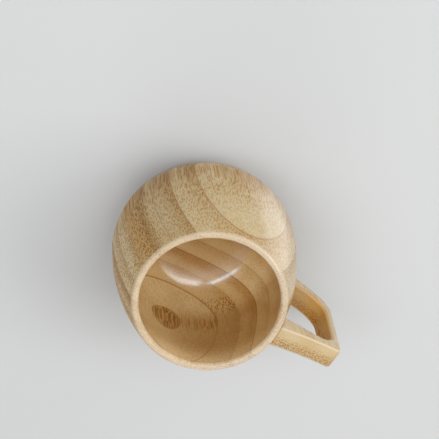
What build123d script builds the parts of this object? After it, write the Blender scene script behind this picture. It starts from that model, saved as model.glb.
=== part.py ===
from build123d import *
import os

# Bamboo cup: a round-bellied vessel turned from a block of glued bamboo plies, with a loop handle
# whose two arms are scribed to the wall and held by stub tenons. Millimetres, +Z up, origin at the
# centre of the flat base, handle along +X.

# Vessel, outside
rim_height = 82.0
rim_radius = 36.0
belly_height = 28.0
belly_radius = 45.0
belly_turn_height = 12.4
base_radius = 27.0
base_edge_round = 2.0

# Vessel, inside; the wall's thickness is that at the cavity's widest height
wall_thickness = 4.6
cavity_belly_height = 28.8
cavity_turn_above = 17.4
cavity_turn_below = 16.3
floor_thickness = 4.4
floor_radius = 16.0
floor_turn = 14.1
lip_thickness = 3.5
lip_round = 1.5

# Plies of the block: parallel glue planes along the cup's axis; the cavity dishes the two outermost plies
ply_count = 11
left_cap_dish = 3.1
right_cap_dish = 0.8
last_inner_ply = 7.7
ply_turn = 5.0

# Handle outline, in the plane of the cup's axis; the arms' heights are those at the rim's radius
handle_width = 11.3
handle_reach = 73.6
grip_thickness = 4.2
upper_arm_below_rim = 2.8
upper_arm_depth = 14.7
upper_arm_sag = 1.4
tip_below_rim = 13.6
lower_arm_bottom = 5.0
lower_arm_depth = 10.5
lower_arm_sag = 1.9
foot_height = 21.5
foot_inside_height = 24.0
tip_round = 3.0
foot_round = 14.0
gap_top_round = 9.0
gap_foot_round = 13.0
handle_edge_round = 1.6

# Glued joint of handle and wall
tenon_width = 8.0
tenon_height = 7.0
tenon_length = 1.8
glue_gap = 0.1
arm_run_in = 10.0

# Largest share of a wall's thickness that the round of its edge may take
round_share = 0.45


def nearest_corner(shape, point):
    return shape.vertices().sort_by_distance(point)[0]


def turned(face):
    return revolve(Plane.XZ * face, Axis.Z)


def outside_edges(inset):
    """The vessel's outer profile from base to rim, with every radius smaller by inset."""
    base = (base_radius - inset, 0)
    belly = (belly_radius - inset, belly_height)
    rim = (rim_radius - inset, rim_height)
    lower = Bezier(base, (belly_radius - inset, belly_turn_height), belly)
    upper = TangentArc(belly, rim, tangent=(0, 1))
    return lower, upper


def vessel():
    """The turned vessel as one solid, before it is divided into plies."""
    lower, upper = outside_edges(0)
    cavity_radius = belly_radius - wall_thickness
    inner_rim = (rim_radius - lip_thickness, rim_height)
    inner_belly = (cavity_radius, cavity_belly_height)
    inner_floor = (floor_radius, floor_thickness)
    above_belly = (cavity_radius, cavity_belly_height + cavity_turn_above)
    below_belly = (cavity_radius, cavity_belly_height - cavity_turn_below)
    beside_floor = (floor_radius + floor_turn, floor_thickness)
    profile = make_face(
        [
            Line((0, 0), lower @ 0),
            lower,
            upper,
            Line(upper @ 1, inner_rim),
            Bezier(inner_rim, above_belly, inner_belly),
            Bezier(inner_belly, below_belly, beside_floor, inner_floor),
            Line(inner_floor, (0, floor_thickness)),
            Line((0, floor_thickness), (0, 0)),
        ]
    )
    profile = fillet(nearest_corner(profile, lower @ 0), base_edge_round)
    for corner in (upper @ 1, inner_rim):
        profile = fillet(nearest_corner(profile, corner), min(lip_round, round_share * lip_thickness))
    return turned(profile)


def core(inset):
    """Everything inside the vessel's outer surface less inset, carried on above the rim."""
    lower, upper = outside_edges(inset)
    top = rim_height + rim_radius
    return turned(
        make_face(
            [
                Line((0, 0), lower @ 0),
                lower,
                upper,
                Line(upper @ 1, (rim_radius - inset, top)),
                Line((rim_radius - inset, top), (0, top)),
                Line((0, top), (0, 0)),
            ]
        )
    )


def handle_outline():
    """The handle's side view: an open loop whose two arms run on into the wall."""
    grip_inside = handle_reach - grip_thickness
    tip = (handle_reach, rim_height - tip_below_rim)
    foot = (handle_reach, foot_height)
    gap_foot = (grip_inside, foot_inside_height)
    upper_top = (rim_radius, rim_height - upper_arm_below_rim)
    upper_under = rim_height - upper_arm_below_rim - upper_arm_depth
    gap_top = (grip_inside, upper_under)
    lower_under = (rim_radius, lower_arm_bottom)
    lower_top = (rim_radius, lower_arm_bottom + lower_arm_depth)

    top_edge = SagittaArc(upper_top, tip, -upper_arm_sag)
    bottom_edge = SagittaArc(foot, lower_under, lower_arm_sag)
    lower_edge = Line(lower_top, gap_foot)
    top_end = top_edge @ 0 - arm_run_in * (top_edge % 0)
    under_end = Vector(rim_radius - arm_run_in, upper_under)
    bottom_end = bottom_edge @ 1 + arm_run_in * (bottom_edge % 1)
    lower_end = lower_edge @ 0 - arm_run_in * (lower_edge % 0)

    outline = make_face(
        [
            Line(top_end, upper_top),
            top_edge,
            Line(tip, foot),
            bottom_edge,
            Line(lower_under, bottom_end),
            Line(bottom_end, lower_end),
            Line(lower_end, gap_foot),
            Line(gap_foot, gap_top),
            Line(gap_top, under_end),
            Line(under_end, top_end),
        ]
    )
    rounds = ((tip, tip_round), (foot, foot_round), (gap_top, gap_top_round), (gap_foot, gap_foot_round))
    for corner, radius in rounds:
        outline = fillet(nearest_corner(outline, corner), radius)
    return outline


def handle_blank():
    """The sawn and rounded handle before its ends are scribed."""
    board = extrude(Plane.XZ * handle_outline(), handle_width / 2, both=True)
    sides = board.edges().group_by(Axis.Y)
    return fillet(sides[0] + sides[-1], min(handle_edge_round, round_share * grip_thickness))


def tenon_bars(grow):
    """A bar through the middle of each arm, larger by grow all round."""
    upper_middle = rim_height - upper_arm_below_rim - upper_arm_depth / 2
    lower_middle = lower_arm_bottom + lower_arm_depth / 2
    bar = Box(belly_radius, tenon_width + 2 * grow, tenon_height + 2 * grow)
    return [Pos(belly_radius / 2, 0, middle) * bar for middle in (upper_middle, lower_middle)]


def glue_planes():
    """Distances of the glue planes from the axis, from the handle's left to its right."""
    cavity_radius = belly_radius - wall_thickness
    first = cavity_radius - left_cap_dish
    last = right_cap_dish - cavity_radius
    last_but_one = last + last_inner_ply
    even_plies = ply_count - 3
    step = (first - last_but_one) / even_plies
    return [first - step * k for k in range(even_plies + 1)] + [last]


def ply_block(inner, outer):
    """The space between two glue planes, wide and tall enough for the whole vessel."""
    width = 4 * belly_radius
    height = 2 * rim_height
    slab = Pos(0, (inner + outer) / 2, 0) * Box(width, outer - inner, height)
    return Rot(0, 0, ply_turn) * slab


os.makedirs("parts", exist_ok=True)

blank = handle_blank()
handle = blank - core(-glue_gap)
body = vessel()
for bar in tenon_bars(0):
    handle += (blank & bar) - core(tenon_length)
for bar in tenon_bars(glue_gap):
    body -= bar - core(tenon_length + glue_gap)
export_step(handle, "parts/handle.step")

bounds = [2 * belly_radius] + glue_planes() + [-2 * belly_radius]
for number in range(1, len(bounds)):
    ply = body & ply_block(bounds[number], bounds[number - 1])
    export_step(ply, f"parts/body_ply_{number:02d}.step")
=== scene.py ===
import math
from typing import Any, NamedTuple

import bpy
from mathutils import Matrix, Quaternion, Vector

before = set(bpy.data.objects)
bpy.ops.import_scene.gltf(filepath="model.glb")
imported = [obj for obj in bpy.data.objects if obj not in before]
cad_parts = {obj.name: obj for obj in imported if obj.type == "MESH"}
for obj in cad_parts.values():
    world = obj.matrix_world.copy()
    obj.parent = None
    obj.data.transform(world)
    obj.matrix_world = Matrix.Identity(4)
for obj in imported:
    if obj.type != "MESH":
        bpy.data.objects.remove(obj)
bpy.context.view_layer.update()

scene = bpy.context.scene
scene.view_settings.view_transform = "Standard"

# Materials work in millimetres, and the scene in metres
millimetres_per_metre = 1000.0

# The block's glue planes, in millimetres in the CAD frame, as the solids have them
ply_turn = math.radians(5.0)
across = (-math.sin(ply_turn), math.cos(ply_turn), 0.0)
along = (math.cos(ply_turn), math.sin(ply_turn), 0.0)
first_plane = 37.3
ply_thickness = 8.65
even_planes = 9
last_plane = -39.6
planes = [first_plane - ply_thickness * k for k in range(even_planes)] + [last_plane]

# The outside wall, in millimetres: its widest place, and how it draws in with the square of the height above
# that place and below it
belly_height = 28.0
belly_radius = 45.0
draw_in_above = 0.00306
draw_in_below = 0.0205

# Middles of the two hollows, the cavity and the finger gap, in millimetres, and how squarely a face looks at
# the middle where the hollow's lacquer starts and where it is full
cavity_middle = (0.0, 0.0, 45.0)
gap_middle = (56.0, 0.0, 43.0)
hollow_starts = (0.1, 0.6)

# The glue line in each plane, from the handle's left to its right: how dark it is low on the cup and high
# on it, and half its width in millimetres
glue_lines = (
    (0.65, 0.5, 0.28),
    (0.65, 0.6, 0.32),
    (0.35, 0.35, 0.35),
    (0.35, 0.35, 0.35),
    (0.35, 0.35, 0.35),
    (0.4, 0.4, 0.4),
    (0.85, 0.75, 0.45),
    (0.2, 0.2, 0.4),
    (0.8, 0.35, 0.42),
    (0.3, 0.3, 0.15),
)


class Look(NamedTuple):
    """How one board looks. Every value is a share, and 1 leaves a brightness or a clearness as it is."""

    tone: float = 1.0  # brightness of the whole board
    brown: float = 0.25  # shift from pale towards brown
    skin_brown: float = 0.35  # brown added at the face that was the culm's skin
    turned_over: bool = False  # that face is turned the other way from most boards
    pith_fibres: float = 0.75  # clearness of the fibres at the opposite face
    inner_fibres: float = 0.4  # clearness of the fibres inside the cup
    shoulder_fibres: float = 1.0  # clearness of the fibres below the lip
    figured_height: float = -50.0  # middle of a band of clear fibres inside the cup, in millimetres
    low_brown_and_shade: float = 0.0  # brown patches and painted shade added low on the belly
    dark_fibres: float = 0.0  # darkness added to the fibres


ply_looks = (
    Look(tone=0.895, brown=0.0, skin_brown=0.3, shoulder_fibres=0.6, low_brown_and_shade=0.3),
    Look(tone=0.89, brown=0.0, shoulder_fibres=0.85, low_brown_and_shade=0.75),
    Look(tone=0.84, brown=0.15, skin_brown=0.4, low_brown_and_shade=0.8),
    Look(tone=0.92, skin_brown=0.8, turned_over=True, low_brown_and_shade=0.7),
    Look(tone=1.02, brown=0.9, skin_brown=0.2, low_brown_and_shade=0.4),
    Look(tone=1.02, brown=0.1, low_brown_and_shade=0.1),
    Look(tone=1.02, brown=0.1),
    Look(tone=0.98, brown=0.5, skin_brown=0.8),
    Look(tone=0.94, brown=0.45, figured_height=18.0),
    Look(tone=1.0, brown=0.18, skin_brown=0.1, figured_height=30.0),
    Look(tone=0.93, brown=0.75, skin_brown=0.1, inner_fibres=1.8),
)
handle_look = Look(tone=0.88, skin_brown=0.25, pith_fibres=0.1, inner_fibres=0.7, dark_fibres=0.6)

# Colours of the bamboo and its glue
pale_bamboo = (0.59, 0.475, 0.283)
brown_bamboo = (0.50, 0.30, 0.105)
fibre_colour = (0.41, 0.19, 0.02)
dark_fibre_colour = (0.22, 0.095, 0.012)
glue_colour = (0.28, 0.13, 0.035)
# the lip's pale wear, also a painted highlight on the handle's edges
lip_and_edge_highlight_colour = (0.54, 0.44, 0.32)
# Painted light on the wall inside the cup, just below the lip
lip_painted_light_colour = (0.78, 0.66, 0.45)

# Tints of the lacquer that lines the cavity and the finger gap, which multiply the colour under it. Painted
# shade is in the tints for the wall on the handle's side and for the arms; painted light is in the grip's
wall_lacquer = (1.37, 1.34, 1.21)
# painted shade: the lacquer's tint on the wall on the handle's side
lacquer_in_painted_shade = (1.05, 0.91, 0.66)
floor_lacquer = (1.17, 1.06, 0.86)
# painted shade on the arms' faces in the finger gap, and painted light on the grip's
arm_lacquer_and_shade = (0.86, 0.71, 0.51)
grip_lacquer_and_light = (1.27, 0.94, 0.47)

# Heights between which the look changes, in millimetres
floor_to_wall = (4.8, 8.5)  # from the floor's lacquer to the wall's
inside_shade_rises = (15.0, 27.0)  # painted shade: the wall's lacquer turns darker and browner on the handle's side
inside_shade_clears = (60.0, 80.0)  # that painted shade fades towards the lip
painted_light_below_lip = (53.0, 80.0)  # painted light: the bamboo inside is painted paler towards the lip
lip_rubbed = (79.8, 81.6)  # the lip is rubbed pale
glue_low_to_high = (18.0, 45.0)  # from a glue line's low darkness to its high one
belly_brown_and_shade_fades = (26.0, 48.0)  # the brown patches and painted shade low on the belly fade
shoulder_fades = (48.0, 64.0)  # the fibres change towards their clearness below the lip
figure_ends = (2.0, 7.0)  # a band of clear fibres ends, counted from its middle

# Distances towards the handle between which the look changes, in millimetres
inside_shade_starts = (-4.0, 15.0)  # painted shade on the wall's lacquer starts
outside_shines = (-8.0, 18.0)  # the outside turns glossier
figure_starts = (4.0, 14.0)  # a band of clear fibres starts
arm_to_grip = (58.0, 69.0)  # from the arms' painted shade to the grip's painted light

# Wear, shade and polish, as shares
lip_wear = 0.75
edge_wear_and_highlight = 0.95  # pale wear and painted highlight on the handle's edges
painted_light_share = 0.87  # painted light just inside the lip
# painted shade left on the wall at the lip
shade_kept_at_lip = 0.4
fibres_kept_on_lip = 0.42
glue_kept_on_lip = 0.2
glue_gives_way = 0.6  # wear at which no more of the glue is left than that
glue_core = 0.2  # evenly dark part of a glue line
skin_shade = 0.16  # darkening of a board towards its skin
low_painted_shade = 0.15  # painted shade: darkening with the brown low on the belly
dull_polish = 0.01  # coat outside, away from the handle
bright_polish = 0.62  # coat outside, towards the handle
handle_polish = 0.18
cup_gloss = 0.9  # coat in the cavity
handle_gloss = 0.08  # coat in the finger gap

# The fibres, in millimetres: how far apart two boards' patterns lie, how wide the fibres waver across a
# board and through it, how much of the height counts in the slow waver and in the long streaks, how the
# fibres spread with the square of the height above the belly, and how many bundles a millimetre holds
pattern_shift = (37.3, 19.1)
waver_across = 3.0
waver_through = 1.4
slow_rise = 0.6
streak_rise = 0.05
fibre_spread = 0.00006
coarse_bundles = 0.95
fine_bundles = 1.5
figure_clearness = 0.9
handle_pattern = 0.4  # where each ply has its number

# The handle's board, in millimetres: its depth from skin to pith, and how far glue stains it from the wall
handle_depth = (-4.5, 4.5)
glue_stain = (0.15, 0.8)
glue_stain_darkness = 0.6

# How far a face of the handle is turned aside where the wear of its edges starts and ends and where the side
# face starts, and how much of the way from skin to pith that face shows
edge_starts = (0.2, 0.5)
edge_ends = (0.6, 0.9)
side_face_starts = (0.7, 0.95)
side_face_share = (0.45, 0.6)

# The clear coat, and the relief under it, whose depth is in metres
coat_roughness = 0.14
coat_ior = 1.8
wood_specular = 0.15
relief_depth = 0.00008
wood_relief = 0.3
coat_relief = 0.15
streak_rises = 0.35
fibre_sinks = 0.5
glue_sinks = 0.8


class Nodes:
    """Builds the node tree of a material or a world; values that are sockets become links."""

    def __init__(self, owner):
        owner.use_nodes = True
        self.tree = owner.node_tree
        self.tree.nodes.clear()

    def put(self, socket, value):
        if isinstance(value, bpy.types.NodeSocket):
            self.tree.links.new(value, socket)
        else:
            socket.default_value = value

    def add(self, kind, inputs=None, **settings):
        made = self.tree.nodes.new(kind)
        for name, value in settings.items():
            setattr(made, name, value)
        for name, value in (inputs or {}).items():
            self.put(made.inputs[name], value)
        return made

    def math(self, operation, *values):
        made = self.add("ShaderNodeMath", operation=operation)
        for socket, value in zip(made.inputs, values):
            self.put(socket, value)
        return made.outputs[0]

    def product(self, first, *others):
        for other in others:
            first = self.math("MULTIPLY", first, other)
        return first

    def vector(self, operation, *values):
        made = self.add("ShaderNodeVectorMath", operation=operation)
        for socket, value in zip(made.inputs, values):
            self.put(socket, value)
        return made

    def dot(self, first, second):
        return self.vector("DOT_PRODUCT", first, second).outputs["Value"]

    def length(self, vector):
        return self.vector("LENGTH", vector).outputs["Value"]

    def join(self, x, y, z):
        return self.add("ShaderNodeCombineXYZ", {0: x, 1: y, 2: z}).outputs[0]

    def split(self, vector):
        return self.add("ShaderNodeSeparateXYZ", {0: vector}).outputs

    def step(self, value, low, high, start=0.0, end=1.0):
        """A smooth step from start to end as value goes from low to high."""
        inputs = {"Value": value, "From Min": low, "From Max": high, "To Min": start, "To Max": end}
        made = self.add("ShaderNodeMapRange", inputs, interpolation_type="SMOOTHSTEP")
        return made.outputs[0]

    def blend(self, share, first, second):
        """A number that goes from first to second with share."""
        return self.add("ShaderNodeMix", {0: share, 2: first, 3: second}).outputs[0]

    def mix(self, share, first, second, blend="MIX"):
        """A colour that goes from first to second with share."""
        made = self.add("ShaderNodeMix", data_type="RGBA", blend_type=blend)
        self.put(made.inputs[0], share)
        for socket, value in ((made.inputs[6], first), (made.inputs[7], second)):
            self.put(socket, (*value, 1.0) if isinstance(value, tuple) else value)
        return made.outputs[2]

    def noise(self, place, scale, detail=2.0, roughness=0.5):
        inputs = {"Vector": place, "Scale": scale, "Detail": detail, "Roughness": roughness}
        return self.add("ShaderNodeTexNoise", inputs).outputs[0]

    def dots(self, place, scale, small=0.3, large=0.45, core=0.55, randomness=0.9):
        """Round spots of random size about the cells of a flat pattern: 1 inside, 0 outside."""
        inputs = {"Vector": place, "Scale": scale, "Randomness": randomness}
        cells = self.add("ShaderNodeTexVoronoi", inputs, voronoi_dimensions="2D")
        pick = self.add("ShaderNodeSeparateColor", {0: cells.outputs["Color"]}).outputs[0]
        size = self.step(pick, 0.0, 1.0, small, large)
        edge = self.math("MULTIPLY", size, core)
        return self.step(cells.outputs["Distance"], edge, size, 1.0, 0.0)

    def bump(self, relief, strength):
        inputs = {"Height": relief, "Strength": strength, "Distance": relief_depth}
        return self.add("ShaderNodeBump", inputs).outputs[0]

    def seen_plainly(self, ray):
        """1 where a surface is seen, also in a mirror or through glass, and 0 where it only gives light."""
        mirrored = self.math("MAXIMUM", ray["Is Glossy Ray"], ray["Is Transmission Ray"])
        return self.math("MAXIMUM", ray["Is Camera Ray"], mirrored)


class Layer(NamedTuple):
    """Where a place lies in its board and how it is finished there, as sockets or plain numbers."""

    side: Any  # distance towards the handle, in millimetres
    depth: Any  # distance across the boards, in millimetres
    share: Any  # 0 at the face that was the culm's skin, 1 at the pith
    glue: Any  # darkness of glue
    wear_and_edge_highlight: Any  # share of paler wear, and of a painted highlight on the handle's edges
    polish: Any  # weight of the coat on the outside
    lacquer: Any  # tint of the lacquer in the hollow, with painted shade and painted light in parts


def fibre_paths(nodes, layer, height, pattern):
    """Places that follow the fibres, which run straight up to the belly, spread above it, and waver slowly
    across the board and quicker through it. The first place lies flat across the fibres, and the second is
    drawn out along them."""
    above = nodes.math("MAXIMUM", nodes.math("SUBTRACT", height, belly_height), 0.0)
    spread = nodes.math("MULTIPLY_ADD", nodes.math("MULTIPLY", above, above), -fibre_spread, 1.0)
    side = nodes.math("MULTIPLY_ADD", layer.side, spread, pattern_shift[0] * pattern)
    depth = nodes.math("MULTIPLY_ADD", layer.depth, spread, pattern_shift[1] * pattern)
    slow_place = nodes.join(side, depth, nodes.math("MULTIPLY", height, slow_rise))
    slow = nodes.noise(slow_place, scale=0.05, detail=1.0)
    quick = nodes.noise(nodes.join(side, depth, height), scale=0.14, detail=1.0)
    side = nodes.math("ADD", side, nodes.math("MULTIPLY_ADD", slow, waver_across, -waver_across / 2))
    depth = nodes.math("ADD", depth, nodes.math("MULTIPLY_ADD", quick, waver_through, -waver_through / 2))
    flat = nodes.join(side, depth, 0.0)
    long = nodes.join(side, depth, nodes.math("MULTIPLY", height, streak_rise))
    return flat, long


def bamboo(name, pattern, look, layer_at, hollow, gloss):
    """Lacquered bamboo whose fibres run up the cup. layer_at makes the layer at a place. hollow is the
    middle of the hollow that the piece lines, where the lacquer lies thicker and has its own tint and
    gloss."""
    material = bpy.data.materials.new(name)
    nodes = Nodes(material)
    metres = nodes.add("ShaderNodeTexCoord").outputs["Object"]
    scaling = {0: metres, "Scale": millimetres_per_metre}
    place = nodes.add("ShaderNodeVectorMath", scaling, operation="SCALE").outputs[0]
    facing = nodes.add("ShaderNodeNewGeometry").outputs["Normal"]
    height = nodes.split(place)[2]
    layer = layer_at(nodes, place, facing)
    flat, long = fibre_paths(nodes, layer, height, pattern)
    inward = nodes.vector("NORMALIZE", nodes.vector("SUBTRACT", hollow, place).outputs[0]).outputs[0]
    inside = nodes.step(nodes.dot(facing, inward), *hollow_starts)
    outside = nodes.math("SUBTRACT", 1.0, inside)
    share = nodes.math("SUBTRACT", 1.0, layer.share) if look.turned_over else layer.share
    skin = nodes.step(share, 0.0, 0.75, 1.0, 0.0)

    # Fibres: coarse bundles with finer ones between them, clearer in a figured band inside the cup
    fine_clearness = nodes.math("MULTIPLY_ADD", skin, 0.3, 0.55)
    fine = nodes.math("MULTIPLY", nodes.dots(flat, fine_bundles), fine_clearness)
    bundles = nodes.math("MAXIMUM", nodes.dots(flat, coarse_bundles), fine)
    breaks = nodes.step(nodes.noise(long, scale=0.35), 0.35, 0.6, 0.7, 1.0)
    from_figure = nodes.math("ABSOLUTE", nodes.math("SUBTRACT", height, look.figured_height))
    in_band = nodes.step(from_figure, *figure_ends, 1.0, 0.0)
    figured = nodes.product(in_band, nodes.step(layer.side, *figure_starts))
    inner = nodes.math("MULTIPLY_ADD", figured, figure_clearness, look.inner_fibres)
    outer = nodes.step(height, *shoulder_fades, 1.0, look.shoulder_fibres)
    spots = nodes.product(
        bundles,
        breaks,
        nodes.step(share, 0.1, 0.9, 0.95, look.pith_fibres),
        nodes.blend(inside, outer, inner),
        nodes.step(layer.wear_and_edge_highlight, 0.0, lip_wear, 1.0, fibres_kept_on_lip),
    )

    # Ground: browner towards the skin, in patches and painted shade low on the belly, mottled and streaked;
    # painted light just inside the lip; pale wear on the lip, and a painted highlight on the handle's edges
    streak = nodes.noise(long, scale=2.4, detail=3.0, roughness=0.6)
    mottle = nodes.noise(place, scale=0.075)
    patches = nodes.step(nodes.noise(long, scale=0.55), 0.36, 0.62, 0.25, 1.35)
    # Brown patches low on the belly, which also paint shade there
    low_brown_and_shade = nodes.product(nodes.step(height, *belly_brown_and_shade_fades, look.low_brown_and_shade, 0.0), outside, patches)
    brownness = nodes.math("MULTIPLY_ADD", skin, look.skin_brown, look.brown)
    brownness = nodes.math("ADD", brownness, nodes.step(mottle, 0.35, 0.7, -0.08, 0.2))
    brownness = nodes.math("ADD", brownness, low_brown_and_shade)
    # Painted shade: the ground is darker with the brown low on the belly
    light = nodes.product(
        nodes.step(streak, 0.25, 0.75, 0.92, 1.06),
        look.tone,
        nodes.math("MULTIPLY_ADD", skin, -skin_shade * look.skin_brown, 1.0),
        nodes.math("MULTIPLY_ADD", low_brown_and_shade, -low_painted_shade, 1.0),
    )
    colour = nodes.mix(brownness, pale_bamboo, brown_bamboo)
    colour = nodes.mix(1.0, colour, nodes.join(light, light, light), "MULTIPLY")
    # Painted light: the wall just inside the lip is painted paler
    painted_light_near_lip = nodes.product(nodes.step(height, *painted_light_below_lip, 0.0, painted_light_share), inside)
    colour = nodes.mix(painted_light_near_lip, colour, lip_painted_light_colour)
    # Pale wear on the lip, and a painted highlight on the handle's edges
    colour = nodes.mix(layer.wear_and_edge_highlight, colour, lip_and_edge_highlight_colour)

    # Fibres, glue and the hollow's lacquer over the ground
    fibre_darkness = nodes.math("ADD", brownness, look.dark_fibres)
    colour = nodes.mix(spots, colour, nodes.mix(fibre_darkness, fibre_colour, dark_fibre_colour))
    colour = nodes.mix(layer.glue, colour, glue_colour)
    colour = nodes.mix(inside, colour, nodes.mix(1.0, colour, layer.lacquer, "MULTIPLY"))

    # Finish: sunken fibres and glue lines, which the coat over them evens out in part
    sunken = nodes.math("MULTIPLY", spots, -fibre_sinks)
    relief = nodes.math("MULTIPLY_ADD", streak, streak_rises, sunken)
    relief = nodes.math("SUBTRACT", relief, nodes.math("MULTIPLY", layer.glue, glue_sinks))
    inputs = {
        "Base Color": colour,
        "Roughness": nodes.math("MULTIPLY_ADD", spots, 0.08, nodes.step(streak, 0.2, 0.8, 0.36, 0.48)),
        "Specular IOR Level": wood_specular,
        "Normal": nodes.bump(relief, wood_relief),
        "Coat Weight": nodes.blend(inside, layer.polish, gloss),
        "Coat Roughness": coat_roughness,
        "Coat IOR": coat_ior,
        "Coat Normal": nodes.bump(relief, coat_relief),
    }
    shader = nodes.add("ShaderNodeBsdfPrincipled", inputs)
    nodes.add("ShaderNodeOutputMaterial", {"Surface": shader.outputs[0]})
    return material


def ply_layer(number):
    """What makes the layer of one ply of the block, with its two glue lines and the rubbed lip."""
    front = planes[number - 2] if number > 1 else first_plane + ply_thickness
    glued = [plane for plane in (number - 2, number - 1) if 0 <= plane < len(planes)]

    def layer_at(nodes, place, facing):
        side = nodes.dot(place, along)
        depth = nodes.dot(place, across)
        height = nodes.split(place)[2]
        wear_and_edge_highlight = nodes.step(height, *lip_rubbed, 0.0, lip_wear)
        glue = 0.0
        for plane in glued:
            low_darkness, high_darkness, half_width = glue_lines[plane]
            away = nodes.math("ABSOLUTE", nodes.math("SUBTRACT", depth, planes[plane]))
            darkness = nodes.step(height, *glue_low_to_high, low_darkness, high_darkness)
            line = nodes.step(away, glue_core * half_width, half_width, darkness, 0.0)
            glue = nodes.math("MAXIMUM", line, glue)
        # Painted shade on the wall's lacquer, on the handle's side, fading towards the lip
        painted_shade_inside = nodes.product(
            nodes.step(side, *inside_shade_starts),
            nodes.step(height, *inside_shade_rises),
            nodes.step(height, *inside_shade_clears, 1.0, shade_kept_at_lip),
        )
        wall_tint_and_shade = nodes.mix(painted_shade_inside, wall_lacquer, lacquer_in_painted_shade)
        return Layer(
            side=side,
            depth=depth,
            share=nodes.math("DIVIDE", nodes.math("SUBTRACT", front, depth), ply_thickness),
            glue=nodes.product(glue, nodes.step(wear_and_edge_highlight, 0.0, glue_gives_way, 1.0, glue_kept_on_lip)),
            wear_and_edge_highlight=wear_and_edge_highlight,
            polish=nodes.step(side, *outside_shines, dull_polish, bright_polish),
            lacquer=nodes.mix(nodes.step(height, *floor_to_wall), floor_lacquer, wall_tint_and_shade),
        )

    return layer_at


def handle_layer(nodes, place, facing):
    """The layer of the handle's one board: its skin side is the handle's right face, its edges are rubbed
    pale with a painted highlight, and glue has stained its arms where they meet the wall."""
    side, depth, height = nodes.split(place)
    turned_aside = nodes.math("ABSOLUTE", nodes.split(facing)[1])
    on_side_face = nodes.step(turned_aside, *side_face_starts)
    through_board = nodes.step(depth, *handle_depth)
    on_face_share = nodes.step(depth, *handle_depth, *side_face_share)
    # Pale wear and a painted highlight on the handle's rounded edges
    rounding = nodes.step(turned_aside, *edge_starts)
    rounded = nodes.step(turned_aside, *edge_ends, edge_wear_and_highlight, 0.0)
    rise = nodes.math("SUBTRACT", height, belly_height)
    above = nodes.math("MAXIMUM", rise, 0.0)
    below = nodes.math("MINIMUM", rise, 0.0)
    wall = nodes.math("MULTIPLY_ADD", nodes.math("MULTIPLY", above, above), -draw_in_above, belly_radius)
    wall = nodes.math("MULTIPLY_ADD", nodes.math("MULTIPLY", below, below), -draw_in_below, wall)
    from_wall = nodes.math("SUBTRACT", nodes.length(nodes.join(side, depth, 0.0)), wall)
    return Layer(
        side=side,
        depth=depth,
        share=nodes.blend(on_side_face, through_board, on_face_share),
        glue=nodes.step(from_wall, *glue_stain, glue_stain_darkness, 0.0),
        wear_and_edge_highlight=nodes.product(rounding, rounded),
        polish=handle_polish,
        # Painted shade on the arms in the finger gap, and painted light on the grip
        lacquer=nodes.mix(nodes.step(side, *arm_to_grip), arm_lacquer_and_shade, grip_lacquer_and_light),
    )


for number, look in enumerate(ply_looks, start=1):
    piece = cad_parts[f"body_ply_{number:02d}"]
    made = bamboo(f"bamboo_ply_{number:02d}", number, look, ply_layer(number), cavity_middle, cup_gloss)
    piece.material_slots[0].material = made
handle_bamboo = bamboo("bamboo_handle", handle_pattern, handle_look, handle_layer, gap_middle, handle_gloss)
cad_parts["handle"].material_slots[0].material = handle_bamboo

# Floor, in metres, which fades into the pale surround far from the cup. Mirrored rays alone see a sheen on
# it, which stands in for a bright room
surround_colour = (1.0, 0.99, 0.97, 1.0)
surround_level = 0.72
floor_colour = (0.5, 0.5, 0.495, 1.0)
floor_roughness = 0.8
sheen_colour = (1.0, 1.0, 1.0, 1.0)
sheen_roughness = 0.2
sheen_share = 0.35
floor_fades = (0.3, 1.6)
floor_reach = 4.0
floor_corners = [(floor_reach * x, floor_reach * y, 0.0) for x, y in ((-1, -1), (1, -1), (1, 1), (-1, 1))]
floor_mesh = bpy.data.meshes.new("floor")
floor_mesh.from_pydata(floor_corners, [], [(0, 1, 2, 3)])
floor = bpy.data.objects.new("floor", floor_mesh)
scene.collection.objects.link(floor)
floor_material = bpy.data.materials.new("pale_floor")
floor_nodes = Nodes(floor_material)
floor_ray = floor_nodes.add("ShaderNodeLightPath").outputs
matt_look = {"Base Color": floor_colour, "Roughness": floor_roughness}
matt = floor_nodes.add("ShaderNodeBsdfPrincipled", matt_look).outputs[0]
sheen_look = {"Color": sheen_colour, "Roughness": sheen_roughness}
sheen = floor_nodes.add("ShaderNodeBsdfAnisotropic", sheen_look).outputs[0]
sheen_seen = floor_nodes.math("MULTIPLY", floor_ray["Is Glossy Ray"], sheen_share)
near = floor_nodes.add("ShaderNodeMixShader", {0: sheen_seen, 1: matt, 2: sheen}).outputs[0]
far_look = {"Color": surround_colour, "Strength": surround_level}
far = floor_nodes.add("ShaderNodeEmission", far_look).outputs[0]
away = floor_nodes.length(floor_nodes.add("ShaderNodeTexCoord").outputs["Object"])
faded = floor_nodes.product(floor_nodes.step(away, *floor_fades), floor_nodes.seen_plainly(floor_ray))
floor_seen = floor_nodes.add("ShaderNodeMixShader", {0: faded, 1: near, 2: far}).outputs[0]
floor_nodes.add("ShaderNodeOutputMaterial", {"Surface": floor_seen})
floor_mesh.materials.append(floor_material)

# Surround, one pale level where it is seen, which lights the cup more from overhead than from the sides
side_level = 0.22
overhead_level = 0.78
world = bpy.data.worlds.new("surround")
scene.world = world
sky = Nodes(world)
upward = sky.split(sky.add("ShaderNodeTexCoord").outputs["Generated"])[2]
lighting_level = sky.step(upward, 0.2, 0.9, side_level, overhead_level)
sky_seen = sky.seen_plainly(sky.add("ShaderNodeLightPath").outputs)
sky_level = sky.blend(sky_seen, lighting_level, surround_level)
surround = sky.add("ShaderNodeBackground", {"Color": surround_colour, "Strength": sky_level})
sky.add("ShaderNodeOutputWorld", {"Surface": surround.outputs[0]})


class Lamp(NamedTuple):
    """A soft rectangular lamp aimed at the cup, in degrees, metres and watts, with its azimuth counted from
    the handle."""

    azimuth: float
    elevation: float
    width: float
    height: float
    power: float
    colour: tuple = (1.0, 0.98, 0.95)
    distance: float = 1.6
    roll: float = 0.0  # about its own aim
    mirrored: bool = True  # shows in the lacquer


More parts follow.
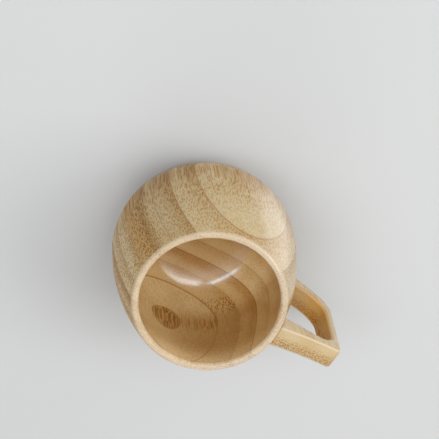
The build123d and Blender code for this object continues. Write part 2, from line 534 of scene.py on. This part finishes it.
# Lamps: a key from the handle's side, a low one through the mouth onto the wall below the lip, two cool
# windows and a cool strip that make the bright arcs at the turn of the cup's floor, and three soft ones
# around the outside
lamps = {
    "key": Lamp(36, 42, width=0.9, height=0.9, power=8.8, colour=(1.0, 0.99, 0.98)),
    "low": Lamp(82, 14, width=0.9, height=0.35, power=5, mirrored=False),
    "window": Lamp(
        75, 56.5, width=1.1, height=0.34, power=5.3, colour=(0.86, 0.93, 1.0), distance=1.5, roll=30
    ),
    "window_top": Lamp(
        70, 67, width=0.9, height=0.35, power=1.5, colour=(0.9, 0.95, 1.0), distance=1.5, roll=20
    ),
    "overhead": Lamp(131, 75, width=1.2, height=1.2, power=3.2, distance=2.0),
    "fill": Lamp(185, 55, width=0.7, height=0.6, power=3.5, colour=(0.98, 0.96, 1.0), mirrored=False),
    "front": Lamp(285, 25, width=1.0, height=0.8, power=4.5),
    "strip_left": Lamp(163, 64, width=0.8, height=0.2, power=3.1, colour=(0.65, 0.82, 1.0), distance=1.5),
}
aim = Vector((0.0, 0.0, 0.045))
for name, lamp in lamps.items():
    light = bpy.data.lights.new(name, "AREA")
    light.shape = "RECTANGLE"
    light.size = lamp.width
    light.size_y = lamp.height
    light.energy = lamp.power
    light.color = lamp.colour
    holder = bpy.data.objects.new(name, light)
    scene.collection.objects.link(holder)
    turn, lift = math.radians(lamp.azimuth), math.radians(lamp.elevation)
    back = Vector((math.cos(turn) * math.cos(lift), math.sin(turn) * math.cos(lift), math.sin(lift)))
    rolled = Quaternion((0.0, 0.0, 1.0), math.radians(lamp.roll))
    holder.location = aim + back * lamp.distance
    holder.rotation_mode = "QUATERNION"
    holder.rotation_quaternion = (-back).to_track_quat("-Z", "Y") @ rolled
    holder.visible_glossy = lamp.mirrored

# Camera, as it stood to the cup in the photograph, in metres
picture_angle = math.radians(16.0)
camera_place = (-0.2191499, 0.2670293, 0.7137932)
camera_right = Vector((0.8305116, 0.5536462, 0.0610431))
camera_up = Vector((-0.4790589, 0.7659057, -0.4288251))
camera_back = Vector((-0.2841707, 0.326901, 0.9013228))
camera_data = bpy.data.cameras.new("camera")
camera_data.sensor_width = 36.0
camera_data.lens = camera_data.sensor_width / 2 / math.tan(picture_angle / 2)
camera = bpy.data.objects.new("camera", camera_data)
scene.collection.objects.link(camera)
turned = Matrix((camera_right, camera_up, camera_back)).transposed()
camera.matrix_world = Matrix.Translation(camera_place) @ turned.to_4x4()
scene.camera = camera
